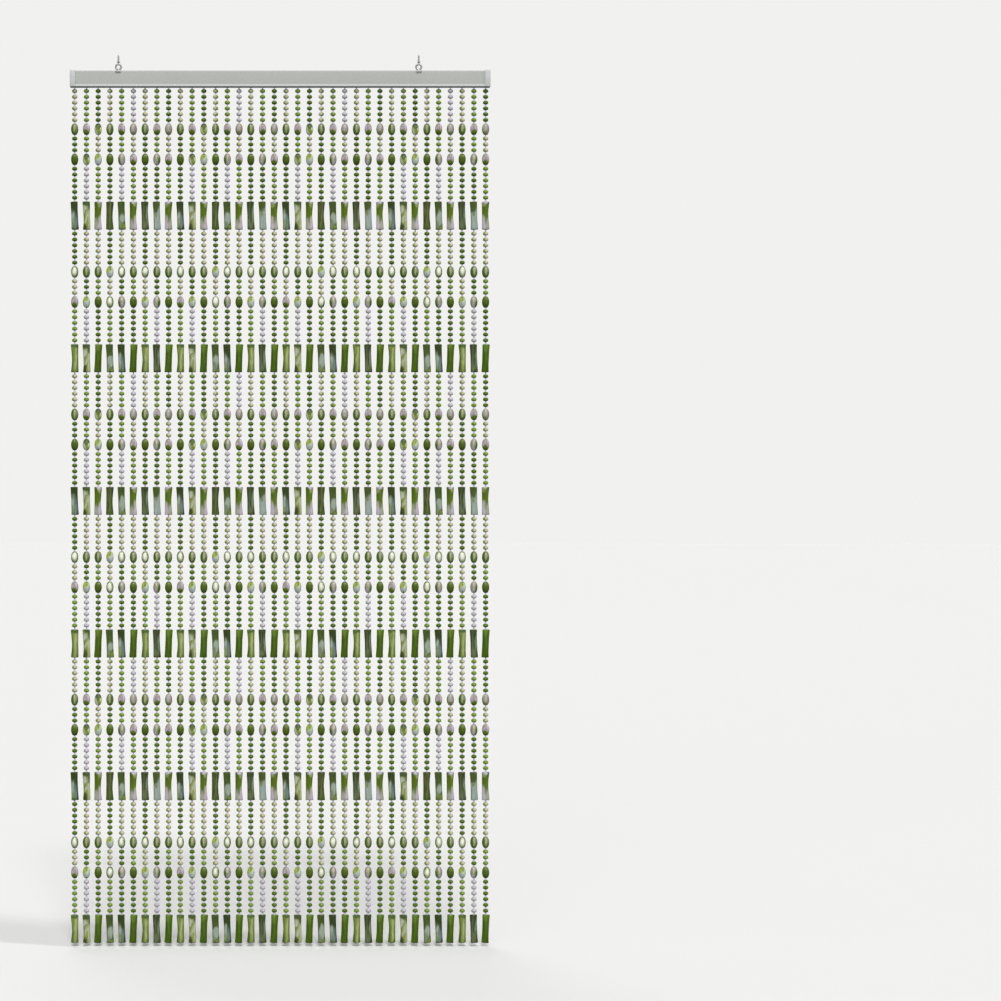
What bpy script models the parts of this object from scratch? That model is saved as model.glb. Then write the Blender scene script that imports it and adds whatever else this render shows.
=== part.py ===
"""Bead curtain for a doorway: strings of beads under a light metal head rail.

The rail hangs from two screw eyes by saddle clips, and the strings are fused into
two backing strips that lie end to end inside the rail. X runs across the doorway,
the front faces -Y, and Z is up. The origin is on the underside of the lintel,
midway across the curtain. All sizes are in metres.
"""

import math

import bmesh
import bpy
from mathutils import Matrix, Vector

# Running gap between neighbouring pieces
GAP = 0.0003

# Strings and their beads
STRAND_COUNT = 36
STRAND_PITCH = 0.026
STRAND_SIDES = 3
STRAND_TURN = math.radians(40)
SECTION_COUNT = 6
SMALL_BEAD_LENGTH = 0.008
SMALL_BEAD_PITCH = 0.0128
OVAL_STEP = 0.0206
TUBE_STEP = 0.0089
TUBE_LENGTH = 0.062
TUBE_TWIST = math.radians(60)
CORD_RADIUS = 0.0022
RUN_RADIUS = 0.0064
OVAL_RADIUS = 0.0095
TUBE_END_RADIUS = 0.0095
TUBE_WAIST_RADIUS = 0.0079

# One section of a string, from its top down.
# Columns: small beads in the run, the large bead that follows the run
SECTION_RUNS = (
    (6, "oval"),
    (3, "oval"),
    (6, "tube"),
)

# Head rail, a channel that is open below, with a lip along each lower edge
RAIL_TOP = -0.021
RAIL_HEIGHT = 0.035
RAIL_DEPTH = 0.024
RAIL_WALL = 0.0015
RAIL_CORNER = 0.002
LIP_HEIGHT = 0.0045
LIP_PROUD = 0.001
SLOT_WIDTH = 0.015
RAIL_BOTTOM = RAIL_TOP - RAIL_HEIGHT

# End caps, open below and towards the rail
CURTAIN_WIDTH = 0.930
CAP_LENGTH = 0.012
CAP_WALL = 0.001
RAIL_LENGTH = CURTAIN_WIDTH - 2 * (CAP_WALL + GAP)

# Backing strips
STRIP_THICKNESS = 0.004
STRIP_DEPTH = RAIL_DEPTH - 2 * (RAIL_WALL + GAP)
STRIP_BOTTOM = RAIL_BOTTOM + RAIL_WALL + GAP
STRIP_OUTER_END = RAIL_LENGTH / 2 - 2 * GAP

# Screw eyes under the lintel
EYE_PLACES = {"left": -0.358, "right": 0.307}
WIRE_RADIUS = 0.0021
RING_RADIUS = 0.0058
RING_CENTRE = -0.0115
COLLAR_RADIUS = 0.004
COLLAR_THICKNESS = 0.0012
SHANK_RADIUS = 0.0017
SHANK_LENGTH = 0.013
TIP_RADIUS = 0.0004
TIP_LENGTH = 0.003
TURNED_STEPS = 12
RING_STEPS = 20
WIRE_STEPS = 8

# Saddle clips, each with a staple round the ring's lower side
SADDLE_WIDTH = 0.012
SADDLE_THICKNESS = 0.001
SADDLE_FLANGE = 0.005
STAPLE_WIDTH = 0.004
STAPLE_THICKNESS = 0.0012
STAPLE_INNER_RADIUS = 0.0026
STAPLE_SINK = 0.0005
STAPLE_STEPS = 8


def clear_scene():
    """Removes every object, so that the model starts from nothing."""
    for item in list(bpy.data.objects):
        bpy.data.objects.remove(item, do_unlink=True)


def principled(name, colour, roughness, metallic=0.0):
    """Returns a plain material with a Principled shader."""
    material = bpy.data.materials.new(name)
    material.use_nodes = True
    shader = material.node_tree.nodes["Principled BSDF"]
    shader.inputs["Base Color"].default_value = (*colour, 1.0)
    shader.inputs["Roughness"].default_value = roughness
    shader.inputs["Metallic"].default_value = metallic
    return material


def add_object(name, shape, material):
    """Turns a bmesh into a named object with one material."""
    bmesh.ops.recalc_face_normals(shape, faces=shape.faces)
    mesh = bpy.data.meshes.new(name)
    shape.to_mesh(mesh)
    shape.free()
    mesh.materials.append(material)
    item = bpy.data.objects.new(name, mesh)
    bpy.context.scene.collection.objects.link(item)
    return item


def add_union(target, guide):
    """Joins a guide object to the target, and leaves the guide as a hidden wire."""
    guide.hide_render = True
    guide.display_type = "WIRE"
    union = target.modifiers.new("Union", "BOOLEAN")
    union.operation = "UNION"
    union.object = guide


def box_shape(low, high):
    """Returns a bmesh box between two corners."""
    shape = bmesh.new()
    size = Vector(high) - Vector(low)
    middle = (Vector(high) + Vector(low)) / 2
    place = Matrix.Translation(middle) @ Matrix.Diagonal((*size, 1.0))
    bmesh.ops.create_cube(shape, size=1.0, matrix=place)
    return shape


def extruded_shape(outline, start, end):
    """Extrudes an outline of (y, z) points along X, from start to end."""
    shape = bmesh.new()
    face = shape.faces.new([shape.verts.new((start, y, z)) for y, z in outline])
    grown = bmesh.ops.extrude_face_region(shape, geom=[face])["geom"]
    moved = [item for item in grown if isinstance(item, bmesh.types.BMVert)]
    bmesh.ops.translate(shape, verts=moved, vec=(end - start, 0, 0))
    return shape


def arc(centre, radius, first, last, steps):
    """Returns points on an arc, as (y, z), between two angles in degrees."""
    turn = math.radians(last - first) / steps
    angles = [math.radians(first) + turn * step for step in range(steps + 1)]
    return [
        (centre[0] + radius * math.cos(a), centre[1] + radius * math.sin(a))
        for a in angles
    ]


def mirrored(half):
    """Closes half an outline, given front to back, with its mirror image in Y."""
    return half + [(-y, z) for y, z in reversed(half)]


def ring_points(depth, radius, turn):
    """Returns the corners of a strand's section at a depth below the rail."""
    step = 2 * math.pi / STRAND_SIDES
    angles = [turn + step * side for side in range(STRAND_SIDES)]
    height = RAIL_BOTTOM - depth
    return [(radius * math.sin(a), radius * math.cos(a), height) for a in angles]


def section_rings():
    """Returns one section's rings as (depth, radius, turn), and its length."""
    rings = []
    first = TUBE_STEP
    for small_count, large_bead in SECTION_RUNS:
        last = first + (small_count - 1) * SMALL_BEAD_PITCH
        rings.append((first - SMALL_BEAD_LENGTH / 2, RUN_RADIUS, 0.0))
        rings.append((last + SMALL_BEAD_LENGTH / 2, RUN_RADIUS, 0.0))
        if large_bead == "oval":
            rings.append((last + OVAL_STEP, OVAL_RADIUS, 0.0))
            first = last + 2 * OVAL_STEP
        else:
            top = last + TUBE_STEP
            rings.append((top, TUBE_END_RADIUS, 0.0))
            rings.append((top + TUBE_LENGTH / 2, TUBE_WAIST_RADIUS, TUBE_TWIST / 2))
            rings.append((top + TUBE_LENGTH, TUBE_END_RADIUS, TUBE_TWIST))
    return rings, top + TUBE_LENGTH


def strand_mesh():
    """Lofts one strand, from inside the backing strip down to its last tube."""
    section, section_length = section_rings()
    root = RAIL_BOTTOM - STRIP_BOTTOM - STRIP_THICKNESS / 2
    rings = [(root, CORD_RADIUS, 0.0), (CORD_RADIUS, CORD_RADIUS, 0.0)]
    for index in range(SECTION_COUNT):
        start = index * section_length
        turned = index * TUBE_TWIST
        rings += [(start + d, radius, turned + turn) for d, radius, turn in section]
    shape = bmesh.new()
    loops = [[shape.verts.new(p) for p in ring_points(*ring)] for ring in rings]
    for upper, lower in zip(loops, loops[1:]):
        for side in range(STRAND_SIDES):
            after = (side + 1) % STRAND_SIDES
            shape.faces.new((upper[side], upper[after], lower[after], lower[side]))
    shape.faces.new(loops[0])
    shape.faces.new(reversed(loops[-1]))
    bmesh.ops.triangulate(shape, faces=shape.faces, quad_method="SHORT_EDGE")
    bmesh.ops.recalc_face_normals(shape, faces=shape.faces)
    mesh = bpy.data.meshes.new("one_strand")
    shape.to_mesh(mesh)
    shape.free()
    return mesh


def make_strands(side, low, high, indices, material):
    """Makes a backing strip between two X places with its strands fused in."""
    strip = box_shape(
        (low, -STRIP_DEPTH / 2, STRIP_BOTTOM),
        (high, STRIP_DEPTH / 2, STRIP_BOTTOM + STRIP_THICKNESS),
    )
    strands = bmesh.new()
    pattern = strand_mesh()
    for index in indices:
        x = (index - (STRAND_COUNT - 1) / 2) * STRAND_PITCH
        turn = Matrix.Rotation(index * STRAND_TURN, 4, "Z")
        copy = pattern.copy()
        copy.transform(Matrix.Translation((x, 0, 0)) @ turn)
        strands.from_mesh(copy)
        bpy.data.meshes.remove(copy)
    bpy.data.meshes.remove(pattern)
    backing = add_object("bead_strands_" + side, strip, material)
    add_union(backing, add_object("strand_guide_" + side, strands, material))


def rail_outline():
    """Returns the head rail's section: a channel with lips and inner ledges."""
    half_depth = RAIL_DEPTH / 2
    inner = half_depth - RAIL_WALL
    corner = (-half_depth + RAIL_CORNER, RAIL_TOP - RAIL_CORNER)
    lip_top = RAIL_BOTTOM + LIP_HEIGHT
    half = arc(corner, RAIL_CORNER, 90, 180, 4)
    half += [
        (-half_depth, lip_top),
        (-half_depth - LIP_PROUD, lip_top - LIP_PROUD),
        (-half_depth - LIP_PROUD, RAIL_BOTTOM),
        (-SLOT_WIDTH / 2, RAIL_BOTTOM),
        (-SLOT_WIDTH / 2, RAIL_BOTTOM + RAIL_WALL),
        (-inner, RAIL_BOTTOM + RAIL_WALL),
        (-inner, RAIL_TOP - RAIL_WALL),
    ]
    return mirrored(half)


def make_rail(material):
    """Makes the head rail."""
    shape = extruded_shape(rail_outline(), -RAIL_LENGTH / 2, RAIL_LENGTH / 2)
    add_object("head_rail", shape, material)


def make_cap(side, sign, material):
    """Makes an end cap as a thin shell over the rail's end."""
    half_depth = RAIL_DEPTH / 2 + LIP_PROUD + GAP + CAP_WALL
    outer = sign * CURTAIN_WIDTH / 2
    inner = outer - sign * CAP_LENGTH
    shape = box_shape(
        (min(inner, outer), -half_depth, RAIL_BOTTOM),
        (max(inner, outer), half_depth, RAIL_TOP + GAP + CAP_WALL),
    )
    towards_rail = Vector((-sign, 0, 0))
    below = Vector((0, 0, -1))
    open_faces = [
        face
        for face in shape.faces
        if face.normal.dot(towards_rail) > 0.9 or face.normal.dot(below) > 0.9
    ]
    bmesh.ops.delete(shape, geom=open_faces, context="FACES")
    cap = add_object("end_cap_" + side, shape, material)
    wall = cap.modifiers.new("Wall", "SOLIDIFY")
    wall.thickness = CAP_WALL
    wall.offset = -1
    wall.use_even_offset = True


def turned_shape(outline, steps):
    """Spins an outline of (radius, z) points about Z, which it meets at both ends."""
    shape = bmesh.new()
    points = [shape.verts.new((radius, 0, z)) for radius, z in outline]
    edges = [shape.edges.new(pair) for pair in zip(points, points[1:])]
    bmesh.ops.spin(
        shape,
        geom=points + edges,
        cent=(0, 0, 0),
        axis=(0, 0, 1),
        angle=2 * math.pi,
        steps=steps,
        use_merge=True,
    )
    bmesh.ops.remove_doubles(shape, verts=shape.verts, dist=GAP / 30)
    return shape


def wire_ring_shape():
    """Returns the eye's wire ring, which faces the front."""
    shape = bmesh.new()
    middle = (0, 0, RING_CENTRE)
    wire = bmesh.ops.create_circle(
        shape,
        segments=WIRE_STEPS,
        radius=WIRE_RADIUS,
        matrix=Matrix.Translation((0, 0, RING_CENTRE + RING_RADIUS))
        @ Matrix.Rotation(math.pi / 2, 4, "Y"),
    )["verts"]
    edges = list({edge for vert in wire for edge in vert.link_edges})
    bmesh.ops.spin(
        shape,
        geom=wire + edges,
        cent=middle,
        axis=(0, 1, 0),
        angle=2 * math.pi,
        steps=RING_STEPS,
        use_merge=True,
    )
    bmesh.ops.remove_doubles(shape, verts=shape.verts, dist=GAP / 30)
    return shape


def make_screw_eye(side, x, material):
    """Makes a screw eye: shank, collar and neck turned in one, joined to a ring."""
    neck_end = RING_CENTRE + RING_RADIUS
    outline = [
        (0.0, SHANK_LENGTH + TIP_LENGTH),
        (TIP_RADIUS, SHANK_LENGTH + TIP_LENGTH),
        (SHANK_RADIUS, SHANK_LENGTH),
        (SHANK_RADIUS, 0.0),
        (COLLAR_RADIUS, 0.0),
        (COLLAR_RADIUS, -COLLAR_THICKNESS),
        (SHANK_RADIUS, -COLLAR_THICKNESS),
        (SHANK_RADIUS, neck_end),
        (0.0, neck_end),
    ]
    screw = turned_shape(outline, TURNED_STEPS)
    eye = add_object("screw_eye_" + side, screw, material)
    ring = add_object("ring_guide_" + side, wire_ring_shape(), material)
    eye.location.x = x
    ring.location.x = x
    add_union(eye, ring)


def saddle_outline():
    """Returns the saddle's section, a plate with a flange down each face."""
    inner = RAIL_DEPTH / 2 + GAP
    outer = inner + SADDLE_THICKNESS
    under = RAIL_TOP + GAP
    half = [
        (-outer, under + SADDLE_THICKNESS),
        (-outer, RAIL_TOP - SADDLE_FLANGE),
        (-inner, RAIL_TOP - SADDLE_FLANGE),
        (-inner, under),
    ]
    return mirrored(half)


def staple_outline():
    """Returns the staple's section, an arch over the ring's wire on two legs."""
    half_width = STAPLE_WIDTH / 2
    hole_radius = RING_RADIUS - WIRE_RADIUS
    wire_top = RING_CENTRE - math.sqrt(hole_radius**2 - half_width**2)
    centre = (0.0, wire_top + GAP - STAPLE_INNER_RADIUS)
    outer_radius = STAPLE_INNER_RADIUS + STAPLE_THICKNESS
    foot = RAIL_TOP + GAP + SADDLE_THICKNESS - STAPLE_SINK
    outline = [(outer_radius, foot)]
    outline += arc(centre, outer_radius, 0, 180, STAPLE_STEPS)
    outline += [(-outer_radius, foot), (-STAPLE_INNER_RADIUS, foot)]
    outline += arc(centre, STAPLE_INNER_RADIUS, 180, 0, STAPLE_STEPS)
    outline += [(STAPLE_INNER_RADIUS, foot)]
    return outline


def make_clip(side, x, material):
    """Makes a saddle clip with the staple that the screw eye's ring carries."""
    saddle_half = SADDLE_WIDTH / 2
    staple_half = STAPLE_WIDTH / 2
    saddle = extruded_shape(saddle_outline(), x - saddle_half, x + saddle_half)
    staple = extruded_shape(staple_outline(), x - staple_half, x + staple_half)
    clip = add_object("saddle_clip_" + side, saddle, material)
    add_union(clip, add_object("staple_guide_" + side, staple, material))


def main():
    """Builds the whole curtain."""
    clear_scene()
    paint = principled("rail_paint", (0.50, 0.50, 0.48), 0.45)
    cap_plastic = principled("cap_plastic", (0.62, 0.64, 0.63), 0.35)
    zinc = principled("zinc_steel", (0.46, 0.47, 0.45), 0.4, 1.0)
    acrylic = principled("bead_acrylic", (0.10, 0.17, 0.03), 0.15)
    half = STRAND_COUNT // 2
    make_rail(paint)
    make_cap("left", -1, cap_plastic)
    make_cap("right", 1, cap_plastic)
    for side, x in EYE_PLACES.items():
        make_screw_eye(side, x, zinc)
        make_clip(side, x, zinc)
    make_strands("left", -STRIP_OUTER_END, -GAP / 2, range(half), acrylic)
    make_strands("right", GAP / 2, STRIP_OUTER_END, range(half, STRAND_COUNT), acrylic)


main()
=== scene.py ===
"""Looks of the bead curtain: marbled acrylic beads on twisted cord under a coated rail.

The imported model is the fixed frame. Every size below is in metres unless its name
says millimetres, and places come from the frame's own boxes.
"""

import logging
import math
from dataclasses import dataclass, field
from enum import Enum
from typing import Callable, ClassVar, Sequence

import bmesh
import bpy
import numpy as np
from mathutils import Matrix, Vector


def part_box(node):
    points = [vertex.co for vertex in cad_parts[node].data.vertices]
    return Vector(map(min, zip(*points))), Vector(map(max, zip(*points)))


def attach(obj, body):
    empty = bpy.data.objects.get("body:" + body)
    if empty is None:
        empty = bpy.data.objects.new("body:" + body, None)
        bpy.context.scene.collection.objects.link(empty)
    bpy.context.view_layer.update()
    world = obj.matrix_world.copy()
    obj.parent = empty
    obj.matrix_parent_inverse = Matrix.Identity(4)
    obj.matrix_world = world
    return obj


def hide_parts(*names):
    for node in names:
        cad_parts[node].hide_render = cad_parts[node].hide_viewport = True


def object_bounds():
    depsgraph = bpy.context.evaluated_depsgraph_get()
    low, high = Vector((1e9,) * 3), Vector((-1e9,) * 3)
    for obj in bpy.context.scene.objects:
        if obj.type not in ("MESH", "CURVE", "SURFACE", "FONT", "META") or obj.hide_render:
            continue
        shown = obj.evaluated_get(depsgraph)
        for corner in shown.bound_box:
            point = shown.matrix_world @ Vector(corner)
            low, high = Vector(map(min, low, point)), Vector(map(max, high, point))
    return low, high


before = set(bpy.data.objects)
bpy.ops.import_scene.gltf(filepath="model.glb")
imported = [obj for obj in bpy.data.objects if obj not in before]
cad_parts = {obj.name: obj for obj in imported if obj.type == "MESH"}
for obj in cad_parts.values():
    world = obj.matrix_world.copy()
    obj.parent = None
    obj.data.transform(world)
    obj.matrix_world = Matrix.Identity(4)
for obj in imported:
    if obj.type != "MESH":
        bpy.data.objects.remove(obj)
CAD_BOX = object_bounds()

MM = 0.001
BODY = "root"
PLACE_ATTRIBUTE = "bead_place"
KEY_ATTRIBUTE = "bead_key"
LOG = logging.getLogger("bead_curtain")

# Running gap between neighbouring pieces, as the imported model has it
GAP = 0.3 * MM
# Places and heights that differ by less than these, in metres, count as the same
SAME_PLACE = 1e-5
SAME_LEVEL = 1e-6
# A normal with at least this share along an axis faces squarely along it
SQUARE_ON = 0.99
SQUARE_END = 0.999


def linear(hex_colour: str) -> tuple[float, float, float, float]:
    """Turns an sRGB hex colour into the linear colour that shaders use.

    Args:
        hex_colour: A colour such as "#4C6E1C".

    Returns:
        Red, green, blue and an alpha of one.
    """
    parts = [int(hex_colour[i : i + 2], 16) / 255 for i in (1, 3, 5)]
    flat = [p / 12.92 if p <= 0.04045 else ((p + 0.055) / 1.055) ** 2.4 for p in parts]
    return (*flat, 1.0)


def add_node(
    tree: bpy.types.NodeTree, kind: str, inputs: dict | None = None, **settings: object
) -> bpy.types.Node:
    """Adds a shader node with its settings, its values and its links.

    Args:
        tree: The node tree that takes the node.
        kind: Blender's name for the node's type.
        inputs: Socket name or number to a value, or to an output that feeds it.
        **settings: Properties of the node itself.

    Returns:
        The new node.
    """
    node = tree.nodes.new(kind)
    for name, value in settings.items():
        setattr(node, name, value)
    for key, value in (inputs or {}).items():
        if isinstance(value, bpy.types.NodeSocket):
            tree.links.new(value, node.inputs[key])
        else:
            node.inputs[key].default_value = value
    return node


def new_surface(name: str) -> tuple[bpy.types.Material, bpy.types.NodeTree, bpy.types.Node]:
    """Starts a material.

    Args:
        name: The material's name.

    Returns:
        The material, its node tree and its Principled shader.
    """
    material = bpy.data.materials.new(name)
    material.use_nodes = True
    tree = material.node_tree
    return material, tree, tree.nodes["Principled BSDF"]


class Side(Enum):
    """One half of the curtain, as its nodes and pieces name it."""

    LEFT = "left"
    RIGHT = "right"


class WallSide(Enum):
    """On which side of a sheet its wall goes."""

    INNER = -1
    OUTER = 1


class Mode(Enum):
    """What an edit works on, with the word that Blender's select mode has for it."""

    VERTS = "VERT"
    EDGES = "EDGE"
    FACES = "FACE"


def begin_piece() -> None:
    """Leaves nothing selected, so that an operator acts on the new piece alone."""
    if bpy.context.object and bpy.context.object.mode != "OBJECT":
        bpy.ops.object.mode_set(mode="OBJECT")
    bpy.ops.object.select_all(action="DESELECT")


def pick(mode: Mode, test: Callable[[object], bool]) -> None:
    """Selects the parts of the mesh in edit mode that pass a test.

    Args:
        mode: Whether vertices, edges or faces are picked.
        test: Says of one vertex, edge or face whether it is picked.
    """
    bpy.ops.mesh.select_mode(type=mode.value)
    bpy.ops.mesh.select_all(action="DESELECT")
    shape = bmesh.from_edit_mesh(bpy.context.object.data)
    parts = {Mode.VERTS: shape.verts, Mode.EDGES: shape.edges, Mode.FACES: shape.faces}
    for part in parts[mode]:
        if test(part):
            part.select_set(True)
    shape.select_flush_mode()
    bmesh.update_edit_mesh(bpy.context.object.data)


def level_edge(edge: bmesh.types.BMEdge) -> bool:
    """Says whether an edge lies level."""
    return abs(edge.verts[0].co.z - edge.verts[1].co.z) < SAME_LEVEL


def rim_edge(edge: bmesh.types.BMEdge, half: float) -> bool:
    """Says whether an edge lies level at either end of a bead of that half length."""
    return level_edge(edge) and abs(abs(edge.verts[0].co.z) - half) < SAME_PLACE


def end_face(face: bmesh.types.BMFace) -> bool:
    """Says whether a face looks straight up or down."""
    return abs(face.normal.z) > SQUARE_END


def edit_all() -> None:
    """Opens the active piece in edit mode, with all of it selected."""
    bpy.ops.object.mode_set(mode="EDIT")
    bpy.ops.mesh.select_all(action="SELECT")


def extrude(rise: float = 0.0) -> None:
    """Extrudes what is selected straight up, or down where the rise is negative."""
    bpy.ops.mesh.extrude_region_move(TRANSFORM_OT_translate={"value": (0, 0, rise)})


def scale_about(shares: tuple[float, float, float], x: float = 0.0) -> None:
    """Scales what is selected about a point on the X axis."""
    bpy.ops.transform.resize(value=shares, center_override=(x, 0, 0))


def turn_about(
    angle: float, axis: str = "Z", middle: tuple[float, float, float] = (0, 0, 0)
) -> None:
    """Turns what is selected about a point."""
    bpy.ops.transform.rotate(value=angle, orient_axis=axis, center_override=middle)


def face_outwards() -> None:
    """Turns all the faces of the mesh in edit mode outwards and leaves edit mode."""
    bpy.ops.mesh.select_all(action="SELECT")
    bpy.ops.mesh.normals_make_consistent(inside=False)
    bpy.ops.object.mode_set(mode="OBJECT")


def apply_modifiers(piece: bpy.types.Object) -> None:
    """Applies all the modifiers of a piece, in order.

    Args:
        piece: The piece that has them.
    """
    bpy.context.view_layer.objects.active = piece
    for modifier in list(piece.modifiers):
        bpy.ops.object.modifier_apply(modifier=modifier.name)


def thicken(piece: bpy.types.Object, wall: float, side: WallSide) -> None:
    """Gives a bent sheet its wall.

    Args:
        piece: The sheet.
        wall: How thick the wall is.
        side: Where the wall goes.
    """
    sheet = piece.modifiers.new("Wall", "SOLIDIFY")
    sheet.thickness = wall
    sheet.offset = side.value
    sheet.use_even_offset = True
    apply_modifiers(piece)


def ease_edges(piece: bpy.types.Object, width: float) -> None:
    """Rounds the sharp edges of a piece.

    Args:
        piece: The piece.
        width: How wide the rounding is.
    """
    edges = piece.modifiers.new("Edges", "BEVEL")
    edges.width = width
    edges.segments = 2
    edges.limit_method = "ANGLE"
    edges.angle_limit = math.radians(50)
    apply_modifiers(piece)


def select_alone(piece: bpy.types.Object) -> None:
    """Selects one piece alone and makes it the active one.

    Args:
        piece: The piece.
    """
    begin_piece()
    piece.select_set(True)
    bpy.context.view_layer.objects.active = piece


def settle(piece: bpy.types.Object) -> None:
    """Puts the place, turn and scale of a piece into its mesh."""
    select_alone(piece)
    bpy.ops.object.transform_apply(location=True, rotation=True, scale=True)


def soften(piece: bpy.types.Object, degrees: float) -> None:
    """Shades a piece smooth where its faces meet at less than an angle."""
    select_alone(piece)
    bpy.ops.object.shade_smooth_by_angle(angle=math.radians(degrees))


def add_box(size: Sequence[float], middle: Sequence[float]) -> bpy.types.Object:
    """Adds a box of a size round its middle.

    Args:
        size: Its width, depth and height.
        middle: The place of its middle.

    Returns:
        The box.
    """
    begin_piece()
    bpy.ops.mesh.primitive_cube_add(size=1)
    piece = bpy.context.object
    piece.scale = size
    piece.location = middle
    settle(piece)
    return piece


def add_sheet(size: tuple[float, float], middle: Sequence[float]) -> bpy.types.Object:
    """Adds a flat, level sheet of a size round its middle.

    Args:
        size: Its width and depth.
        middle: The place of its middle.

    Returns:
        The sheet.
    """
    begin_piece()
    bpy.ops.mesh.primitive_plane_add(size=1, location=middle)
    piece = bpy.context.object
    piece.scale = (*size, 1)
    settle(piece)
    return piece


def join_parts(*parts: bpy.types.Object) -> bpy.types.Object:
    """Joins parts into one piece.

    Args:
        *parts: The parts, the first of which takes in the others.

    Returns:
        The piece, with its place in its mesh.
    """
    begin_piece()
    for part in parts:
        part.select_set(True)
    bpy.context.view_layer.objects.active = parts[0]
    bpy.ops.object.join()
    settle(parts[0])
    return parts[0]


def take_mesh(piece: bpy.types.Object) -> bpy.types.Mesh:
    """Takes the mesh of a shape that is to be copied and drops its object.

    Args:
        piece: The finished shape.

    Returns:
        Its mesh.
    """
    bpy.ops.object.mode_set(mode="OBJECT")
    mesh = piece.data
    bpy.data.objects.remove(piece)
    return mesh


def hand_over(
    piece: bpy.types.Object, name: str, finish: bpy.types.Material, slot: str, *nodes: str
) -> None:
    """Names and dresses a finished piece and fixes it to the frame.

    Args:
        piece: The finished mesh object.
        name: The piece's name.
        finish: Its material.
        slot: The record's material slot for the piece; not used.
        *nodes: The CAD nodes that it stands for.
    """
    piece.name = name
    piece.data.name = name
    piece.data.materials.clear()
    piece.data.materials.append(finish)
    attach(piece, BODY)
    if nodes:
        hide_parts(*nodes)
    LOG.info("%s: %d faces", name, len(piece.data.polygons))


@dataclass(frozen=True)
class Patch:
    """A soft patch of one colour on a bead, in shares of its half width and height: mostly a cloud
    in the acrylic, on some beads painted shade and painted highlights.
    """

    colour: str
    across: float
    up: float
    width: float
    height: float
    edge: float = 0.3
    lean: float = 0.0


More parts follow.
